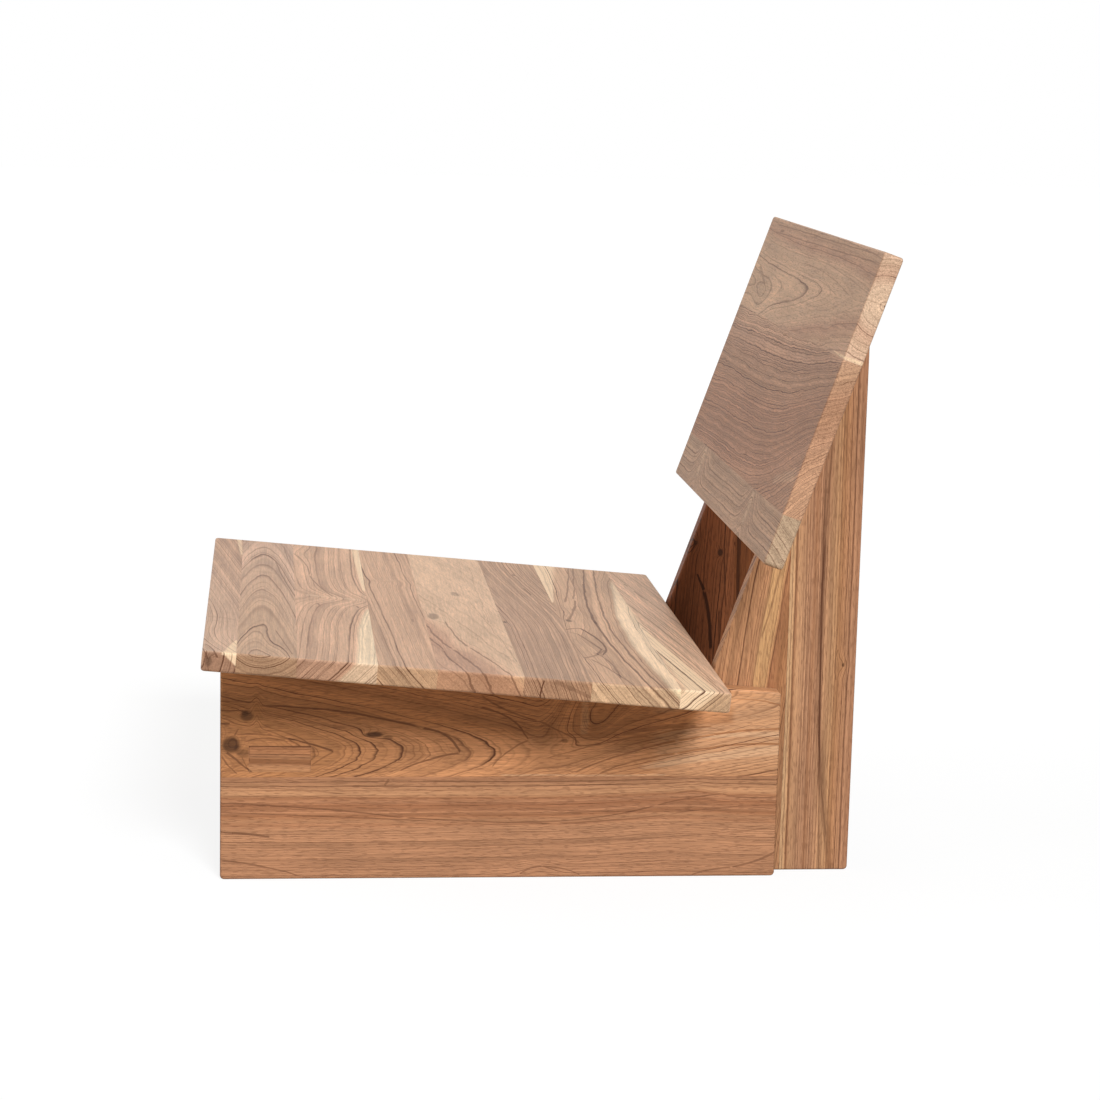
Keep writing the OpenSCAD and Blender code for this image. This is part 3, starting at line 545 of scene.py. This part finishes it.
def mark_group():
    """One streak along the grain: a bowed strip from a start to an end, which fades at its edges and its ends."""
    tree, given = new_group(
        "Grain mark",
        (
            ("Place", "Vector"), ("Along", "Vector"), ("Along start", "Float"), ("Across", "Vector"),
            ("Across start", "Float"), ("Bow", "Float"), ("Start width", "Float"), ("End width", "Float"),
            ("Strength", "Float"), ("Before", "Float"),
        ),
        (("Mark", "Float"),),
    )
    along = vector(tree, "DOT_PRODUCT", given["Place"], given["Along"])
    along = calc(tree, "SUBTRACT", along, given["Along start"])
    off = vector(tree, "DOT_PRODUCT", given["Place"], given["Across"])
    off = calc(tree, "SUBTRACT", off, given["Across start"])
    middle = calc(tree, "MULTIPLY", along, calc(tree, "SUBTRACT", 1.0, along))
    off = calc(tree, "MULTIPLY_ADD", middle, given["Bow"], off)
    off = calc(tree, "ABSOLUTE", off)
    width = remap(tree, along, 0.0, 1.0, given["Start width"], given["End width"])
    body = remap(tree, calc(tree, "DIVIDE", off, width), 0.5, 0.25, smooth=True)
    body = calc(tree, "MULTIPLY", body, remap(tree, middle, 0.0, 0.05, smooth=True))
    body = calc(tree, "MULTIPLY_ADD", body, given["Strength"], given["Before"])
    add_node(tree, "NodeGroupOutput", {"Mark": body})
    return tree


def wood_group():
    """Teak as sawn, planed, sanded and oiled: rings, fibres, pores, marks and knots over a board's band colours."""
    tree, given = new_group(
        "Oiled teak",
        (
            ("Place", "Vector"), ("Shift", "Vector"), ("Distance", "Float"), ("Ring", "Float"), ("Band", "Color"),
            ("Line", "Color"), ("Pale", "Color"), ("Contrast", "Float"), ("Heart", "Color"), ("Mark", "Float"),
            ("Dark", "Float"), ("Fibre", "Float"), ("Rough", "Float"), ("Grain", "Vector"), ("End", "Vector"),
            ("Cut", "Float"), ("Pores", "Float"),
        ),
        (("Color", "Color"), ("Rough", "Float"), ("Height", "Float")),
    )
    place, shift, distance = given["Place"], given["Shift"], given["Distance"]
    no_shift = (0, 0, 0)
    seed = vector(tree, "DOT_PRODUCT", shift, (1, 1, 1))
    # lines fade and strengthen along their way
    fade = remap(tree, grain_noise(tree, place, FADING, shift, 2.0), 0.3, 0.7, 0.5, 1.1)
    # rings grow wide in good years and narrow in bad ones
    years = {"W": distance, "Scale": YEAR_RUNS, "Detail": 1.0}
    years = add_node(tree, "ShaderNodeTexNoise", years, noise_dimensions="1D")
    phase = calc(tree, "DIVIDE", distance, given["Ring"])
    phase = calc(tree, "MULTIPLY_ADD", years, 3.0, phase)
    # each ring ends in a thin dark line of late wood, which darkens slowly and stops short, and weaker lines lie
    # between the bold ones
    lines = []
    for parts, low, high, first, last in ((1.0, 0.2, 1.1, 0.68, 0.95), (2.7, 0.0, 0.6, 0.5, 0.9)):
        count = calc(tree, "MULTIPLY_ADD", phase, parts, seed)
        turn = calc(tree, "FRACT", count)
        luck = add_node(tree, "ShaderNodeTexWhiteNoise", {"W": calc(tree, "FLOOR", count)}, noise_dimensions="1D")
        rise = calc(tree, "POWER", remap(tree, turn, first, last, smooth=True), 2.0)
        line = calc(tree, "MULTIPLY", rise, remap(tree, turn, last, 1.0, 1.0, 0.0))
        bold = remap(tree, calc(tree, "POWER", luck, 1.6), 0.0, 1.0, low, high)
        lines.append(calc(tree, "MULTIPLY", line, bold))
    line = calc(tree, "ADD", *lines)
    line = calc(tree, "MULTIPLY", line, fade)
    line = calc(tree, "MULTIPLY", line, given["Contrast"])
    # the tone of the wood between the lines: by rings, and in broad clouds
    tone = {"W": calc(tree, "ADD", phase, seed), "Scale": 0.5, "Detail": 4.0, "Roughness": 0.65}
    tone = add_node(tree, "ShaderNodeTexNoise", tone, noise_dimensions="1D")
    cloud = grain_noise(tree, place, CLOUDS, shift, 2.0)
    # fibres run along the grain, in long streaks and in fine ones
    streak = grain_noise(tree, place, STREAKS, no_shift, 1.0)
    slender = add_node(tree, "ShaderNodeCombineXYZ", {0: 1 / FIBRE_LENGTH, 1: given["Fibre"], 2: given["Fibre"]})
    fibre = {"Vector": vector(tree, "MULTIPLY", place, slender), "Scale": 1.0, "Detail": 2.0, "Roughness": 0.6}
    fibre = add_node(tree, "ShaderNodeTexNoise", fibre)
    # pores are fine dark dashes
    pore = remap(tree, grain_noise(tree, place, PORES, no_shift, 0.0), 0.57, 0.7)
    # light and dark parts multiply the band colour
    swing = remap(tree, tone, 0.3, 0.7, -0.16, 0.16)
    light = calc(tree, "MULTIPLY_ADD", swing, calc(tree, "MINIMUM", given["Contrast"], 1.1), 1.0)
    for part, swing in ((cloud, 0.12), (streak, 0.12), (fibre, 0.16)):
        light = calc(tree, "MULTIPLY", light, remap(tree, part, 0.25, 0.75, 1.0 - swing, 1.0 + swing))
    # cut ends drink more oil and look darker, and on the seat and backrest a board's end values also carry painted
    # light
    facing = add_node(tree, "ShaderNodeNewGeometry").node.outputs["Normal"]
    facing = calc(tree, "ABSOLUTE", vector(tree, "DOT_PRODUCT", facing, given["Grain"]))
    ended = {0: remap(tree, facing, 0.4, 0.9), 4: (1, 1, 1), 5: given["End"]}
    oil = add_node(tree, "ShaderNodeMix", ended, data_type="VECTOR").node.outputs[1]
    line = calc(tree, "MULTIPLY", line, remap(tree, facing, 0.4, 0.9, 1.0, given["Cut"]))
    colour = vector(tree, "MULTIPLY", scale(tree, given["Band"], light), oil)
    pale = calc(tree, "MULTIPLY", given["Mark"], -1.0, use_clamp=True)
    colour = mix(tree, pale, colour, given["Pale"])
    colour = mix(tree, calc(tree, "MAXIMUM", line, given["Mark"], use_clamp=True), colour, given["Line"])
    colour = mix(tree, calc(tree, "MULTIPLY", pore, given["Pores"]), colour, given["Line"])
    colour = mix(tree, calc(tree, "MINIMUM", given["Dark"], 1.0), colour, given["Heart"])
    rough = calc(tree, "ADD", remap(tree, fibre, 0.25, 0.75, -0.06, 0.06), given["Rough"])
    height = calc(tree, "SUBTRACT", fibre, pore)
    add_node(tree, "NodeGroupOutput", {"Color": colour, "Rough": rough, "Height": height})
    return tree


GROUPS = {"Grown place": place_group, "Ring swirl": swirl_group, "Grain mark": mark_group, "Oiled teak": wood_group}


def add_group(tree, name, inputs):
    """Adds one of the wood's node groups, which is made when it is first needed. Returns its outputs."""
    group = bpy.data.node_groups.get(name) or GROUPS[name]()
    node = tree.nodes.new("ShaderNodeGroup")
    node.node_tree = group
    fill_inputs(tree, node, inputs)
    return node.outputs


def oiled_teak(name, finish):
    """Teak, sawn, planed, sanded and thinly oiled: warm tan wood with dark ring lines, a silky low gloss and barely
    any relief.

    Object coordinates are the row frame's, so the pattern stays on the board whatever moves it."""
    board = BOARDS[name]
    material, tree = new_material("oiled_teak_" + name)
    corner, along, across = board["at"]
    turn = Matrix((along, across, along.cross(across))).transposed().to_euler()
    spot = add_node(tree, "ShaderNodeTexCoord").node.outputs["Object"]
    # from metres in the row frame to millimetres on the board
    spot = {"Vector": spot, "Location": corner, "Rotation": turn, "Scale": (0.001, 0.001, 0.001)}
    spot = add_node(tree, "ShaderNodeMapping", spot, vector_type="TEXTURE")
    shift = tuple(board["seed"] * step for step in SEED_STEP)
    grown = add_group(tree, "Grown place", {
        "Place": spot, "Shift": shift,
        "Wander": board.get("wander", finish.wander * 1000), "Ripple": board.get("ripple", finish.ripple * 1000),
    })
    place, near = grown["Place"], grown["Near"]
    push, dark, mark = 0.0, 0.0, 0.0
    # a swirl reaches half as far again into the board as across it
    for g, w, t, reach_g, reach_w, lift, spread, heart in board.get("swirls", ()):
        swirl = add_group(tree, "Ring swirl", {
            "Place": near, "Centre": (g, w, t), "Reach": (reach_g, reach_w, 1.5 * reach_w),
            "Push": lift, "Spread": spread, "Dark": heart, "Push before": push, "Dark before": dark,
        })
        push, dark = swirl["Push"], swirl["Dark"]
    # the marks lean through the board as its rings do, and a bow is greatest halfway, where along times rest is 1/4
    deep = add_node(tree, "ShaderNodeSeparateXYZ", {0: near}).node.outputs["Z"]
    leant = vector(tree, "ADD", near, scale(tree, (board.get("lean", 0), board["pull"][2], 0), deep))
    for g1, w1, g2, w2, bow, width1, width2, strength in board.get("marks", ()):
        start, way = Vector((g1, w1, 0)), Vector((g2 - g1, w2 - w1, 0))
        course, square = way / way.length_squared, way.cross(Z).normalized()
        mark = add_group(tree, "Grain mark", {
            "Place": leant, "Along": course, "Along start": course.dot(start), "Across": square,
            "Across start": square.dot(start), "Bow": 4 * bow, "Start width": width1, "End width": width2,
            "Strength": strength, "Before": mark,
        })["Mark"]
    # the distance from the pith counts the rings
    w0, t0 = board["pith"]
    away = vector(tree, "SUBTRACT", place, (0, w0, t0))
    if "bend" in board:
        start, stop, shift_w, drop = board["bend"]
        where = remap(tree, add_node(tree, "ShaderNodeSeparateXYZ", {0: place}), start, stop, smooth=True)
        away = vector(tree, "ADD", away, scale(tree, (0, -shift_w, 0), where))
        push = calc(tree, "MULTIPLY_ADD", where, -drop, push)
    away = vector(tree, "MULTIPLY", away, (0, board.get("across", 1.0), 0 if board.get("flat") else 1))
    rings = calc(tree, "ADD", vector(tree, "LENGTH", away), vector(tree, "DOT_PRODUCT", place, board["pull"]))
    rings = calc(tree, "ADD", rings, push)
    bands = board["bands"]
    low, high = bands[0][0], bands[-1][0]
    ramp = add_node(tree, "ShaderNodeValToRGB", {0: remap(tree, rings, low, high)})
    stops = ramp.node.color_ramp.elements
    while len(stops) < len(bands):
        stops.new(0.5)
    for stop, (distance, code) in zip(stops, bands):
        stop.position = (distance - low) / (high - low)
        stop.color = linear(code)
    wood = add_group(tree, "Oiled teak", {
        "Place": place, "Shift": shift, "Distance": rings, "Ring": board["ring"], "Band": ramp,
        "Line": linear(board["line"]) if "line" in board else tuple(finish.line), "Pale": tuple(finish.pale),
        "Contrast": finish.contrast * board.get("contrast", 1.0), "Heart": tuple(finish.heart), "Mark": mark,
        "Dark": dark, "Fibre": 0.001 / finish.fibre, "Rough": finish.roughness, "Grain": along,
        "End": board.get("end", END_TINT), "Cut": board.get("cut", END_LINES),
        "Pores": SEAT_PORE_DARK if board["at"] is SEAT else PORE_DARK,
    })
    # the thin oil gives the eye a warm, silky low gloss, and the sanded grain barely any relief
    bump = add_node(tree, "ShaderNodeBump", {"Strength": 1.0, "Distance": finish.relief, "Height": wood["Height"]})
    shader = add_node(tree, "ShaderNodeBsdfPrincipled", {
        "Base Color": wood["Color"], "Roughness": wood["Rough"], "Normal": bump, "IOR": 1.5,
        "Specular IOR Level": 0.12,
    })
    add_node(tree, "ShaderNodeOutputMaterial", {"Surface": shader})
    return material


def turned_beech(name):
    """Beech, turned and left bare: pale, matt and straight grained, with the short brown flecks of its rays."""
    material, tree = new_material("turned_beech_" + name)
    spot = add_node(tree, "ShaderNodeTexCoord").node.outputs["Object"]
    size = (1 / FLECK_WIDTH, 1 / FLECK_LENGTH, 1 / FLECK_WIDTH)
    spot = add_node(tree, "ShaderNodeMapping", {"Vector": spot, "Scale": size})
    # bare turned wood gives the eye a pale, matt tan with short brown flecks
    fleck = add_node(tree, "ShaderNodeTexNoise", {"Vector": spot, "Scale": 1.0, "Detail": 2.0})
    colour = add_node(tree, "ShaderNodeValToRGB", {0: fleck})
    for stop, code in zip(colour.node.color_ramp.elements, ("#c49a6c", "#e2c092")):
        stop.color = linear(code)
    shader = add_node(tree, "ShaderNodeBsdfPrincipled", {"Base Color": colour, "Roughness": 0.65, "IOR": 1.5})
    add_node(tree, "ShaderNodeOutputMaterial", {"Surface": shader})
    return material


def zinc_plated_steel(name):
    """Steel, zinc plated and chromated: a cool grey with small spangles that differ a little in tone and gloss."""
    material, tree = new_material("zinc_plated_steel_" + name)
    spot = add_node(tree, "ShaderNodeTexCoord").node.outputs["Object"]
    spangle = add_node(tree, "ShaderNodeTexNoise", {"Vector": spot, "Scale": 1 / SPANGLE, "Detail": 2.0})
    # the plating gives the eye a cool grey metal whose spangles differ in gloss and a little in tone
    rough = remap(tree, spangle, 0.0, 1.0, 0.28, 0.5)
    colour = mix(tree, spangle, linear("#a9abac"), linear("#c9cac8"))
    shader = {"Base Color": colour, "Roughness": rough, "Metallic": 1.0}
    shader = add_node(tree, "ShaderNodeBsdfPrincipled", shader)
    add_node(tree, "ShaderNodeOutputMaterial", {"Surface": shader})
    return material


def dress(names, make):
    """Gives each CAD node its own material, made by make(name)."""
    for name in names:
        material = make(name)
        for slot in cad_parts[name].material_slots:
            slot.material = material


def dress_boards(context, *starts):
    """Dresses the boards whose names start with one of these words in oiled teak."""
    finish = context.scene.teak_finish
    dress([name for name in BOARDS if name.startswith(starts)], lambda name: oiled_teak(name, finish))


class CHAIR_OT_seat(bpy.types.Operator):
    """Give each of the seat's eight staves its own oiled teak"""

    bl_idname = "lounge_chair.seat"
    bl_label = "Seat Staves"

    def execute(self, context):
        dress_boards(context, "seat_stave_")
        return {"FINISHED"}


class CHAIR_OT_backrest(bpy.types.Operator):
    """Give each of the backrest's three staves its own oiled teak"""

    bl_idname = "lounge_chair.backrest"
    bl_label = "Backrest Staves"

    def execute(self, context):
        dress_boards(context, "backrest_lower_stave", "backrest_middle_stave", "backrest_upper_stave")
        return {"FINISHED"}


class CHAIR_OT_sides(bpy.types.Operator):
    """Give the boards of both sides their oiled teak"""

    bl_idname = "lounge_chair.sides"
    bl_label = "Side Boards"

    def execute(self, context):
        dress_boards(context, "left_side_lower", "left_side_upper", "right_side_")
        return {"FINISHED"}


class CHAIR_OT_patch(bpy.types.Operator):
    """Give the patch in the near side the darker, straighter teak it was cut from"""

    bl_idname = "lounge_chair.patch"
    bl_label = "Side Patch"

    def execute(self, context):
        dress_boards(context, "left_side_patch")
        return {"FINISHED"}


class CHAIR_OT_posts(bpy.types.Operator):
    """Give the boards of both posts their oiled teak"""

    bl_idname = "lounge_chair.posts"
    bl_label = "Post Boards"

    def execute(self, context):
        dress_boards(context, "left_post_", "right_post_")
        return {"FINISHED"}


class CHAIR_OT_rails(bpy.types.Operator):
    """Give the hidden rails and cleats a plain teak"""

    bl_idname = "lounge_chair.rails"
    bl_label = "Rails and Cleats"

    def execute(self, context):
        sides = ("left_seat_", "right_seat_", "left_backrest_", "right_backrest_")
        dress_boards(context, "front_rail", "rear_rail", *(side + "cleat" for side in sides))
        return {"FINISHED"}


class CHAIR_OT_dowels(bpy.types.Operator):
    """Give the dowels their turned beech"""

    bl_idname = "lounge_chair.dowels"
    bl_label = "Dowels"

    def execute(self, context):
        dress([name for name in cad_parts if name.endswith("_dowels")], turned_beech)
        return {"FINISHED"}


class CHAIR_OT_screws(bpy.types.Operator):
    """Give the screws their zinc-plated steel"""

    bl_idname = "lounge_chair.screws"
    bl_label = "Screws"

    def execute(self, context):
        dress([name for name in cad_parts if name.endswith("_screws")], zinc_plated_steel)
        return {"FINISHED"}


class CHAIR_OT_stage(bpy.types.Operator):
    """Set the floor, the soft lamp, the white room and the camera"""

    bl_idname = "lounge_chair.stage"
    bl_label = "Studio"

    def execute(self, context):
        scene = context.scene
        studio = scene.lounge_studio
        mesh = bpy.data.meshes.new("studio_floor")
        shape = bmesh.new()
        bmesh.ops.create_grid(shape, x_segments=1, y_segments=1, size=FLOOR_REACH)
        shape.to_mesh(mesh)
        shape.free()
        floor = bpy.data.objects.new("studio_floor", mesh)
        scene.collection.objects.link(floor)
        material, tree = new_material("white_floor_paint")
        seen = add_node(tree, "ShaderNodeLightPath").node.outputs
        direct = calc(tree, "MAXIMUM", seen["Is Camera Ray"], seen["Is Glossy Ray"])
        # the camera sees the floor white, with the chair's shadow at a fraction of its depth
        paint = mix(tree, direct, tuple(studio.floor), linear(SEEN_FLOOR))
        paint = add_node(tree, "ShaderNodeBsdfDiffuse", {"Color": paint})
        glow = add_node(tree, "ShaderNodeEmission", {"Strength": calc(tree, "MULTIPLY", direct, SEEN_GLOW)})
        surface = add_node(tree, "ShaderNodeAddShader", {0: paint, 1: glow})
        add_node(tree, "ShaderNodeOutputMaterial", {"Surface": surface})
        mesh.materials.append(material)

        for name, strength, spread, turn, height in (
            ("soft_key", studio.key, studio.key_spread, radians(90) + studio.key_turn, studio.key_height),
            ("wide_fill", studio.fill, FILL_SPREAD, 0.0, FILL_HEIGHT),
        ):
            lamp = bpy.data.lights.new(name, "SUN")
            lamp.energy = strength
            lamp.angle = spread
            holder = bpy.data.objects.new(name, lamp)
            turned = Matrix.Rotation(turn, 3, "Z") @ Matrix.Rotation(radians(90) - height, 3, "X")
            holder.rotation_euler = turned.to_euler()
            scene.collection.objects.link(holder)

        world = bpy.data.worlds.new("white_room")
        world.use_nodes = True
        tree = world.node_tree
        tree.nodes.clear()
        seen = add_node(tree, "ShaderNodeLightPath").node.outputs
        shown = calc(tree, "MAXIMUM", seen["Is Camera Ray"], seen["Is Glossy Ray"])
        shown = calc(tree, "MAXIMUM", shown, seen["Is Transmission Ray"])
        strength = remap(tree, shown, 0.0, 1.0, studio.sky, 1.0)
        colour = mix(tree, shown, tuple(studio.room), (1, 1, 1, 1))
        light = add_node(tree, "ShaderNodeBackground", {"Color": colour, "Strength": strength})
        add_node(tree, "ShaderNodeOutputWorld", {"Surface": light})
        scene.world = world

        data = bpy.data.cameras.new("camera")
        data.lens = studio.lens * 1000
        data.sensor_width = SENSOR
        camera = bpy.data.objects.new("camera", data)
        elevation, roll, azimuth = studio.aim
        aimed = Matrix.Rotation(azimuth, 3, "Z") @ Matrix.Rotation(radians(90) - elevation, 3, "X")
        camera.rotation_euler = (aimed @ Matrix.Rotation(roll, 3, "Z")).to_euler()
        camera.location = studio.stand
        scene.collection.objects.link(camera)
        scene.camera = camera
        scene.view_settings.view_transform = "Standard"
        return {"FINISHED"}


class CHAIR_PT_panel(bpy.types.Panel):
    """The chair's settings and its steps"""

    bl_idname = "CHAIR_PT_panel"
    bl_label = "Teak Lounge Chair"
    bl_space_type = "VIEW_3D"
    bl_region_type = "UI"
    bl_category = "Lounge Chair"

    def draw(self, context):
        for title, group in (("Teak", context.scene.teak_finish), ("Studio", context.scene.lounge_studio)):
            box = self.layout.box()
            box.label(text=title)
            for name in type(group).__annotations__:
                box.prop(group, name)
        for step in STEPS:
            self.layout.operator(step.bl_idname)


STEPS = (
    CHAIR_OT_stage, CHAIR_OT_seat, CHAIR_OT_backrest, CHAIR_OT_sides, CHAIR_OT_patch, CHAIR_OT_posts, CHAIR_OT_rails,
    CHAIR_OT_dowels, CHAIR_OT_screws,
)
CLASSES = (TeakFinish, StudioSettings) + STEPS + (CHAIR_PT_panel,)


def register():
    for cls in CLASSES:
        bpy.utils.register_class(cls)
    bpy.types.Scene.teak_finish = PointerProperty(type=TeakFinish)
    bpy.types.Scene.lounge_studio = PointerProperty(type=StudioSettings)


def unregister():
    del bpy.types.Scene.teak_finish
    del bpy.types.Scene.lounge_studio
    for cls in reversed(CLASSES):
        bpy.utils.unregister_class(cls)


def main():
    register()
    for step in STEPS:
        group, name = step.bl_idname.split(".")
        getattr(getattr(bpy.ops, group), name)()


if __name__ == "__main__":
    main()
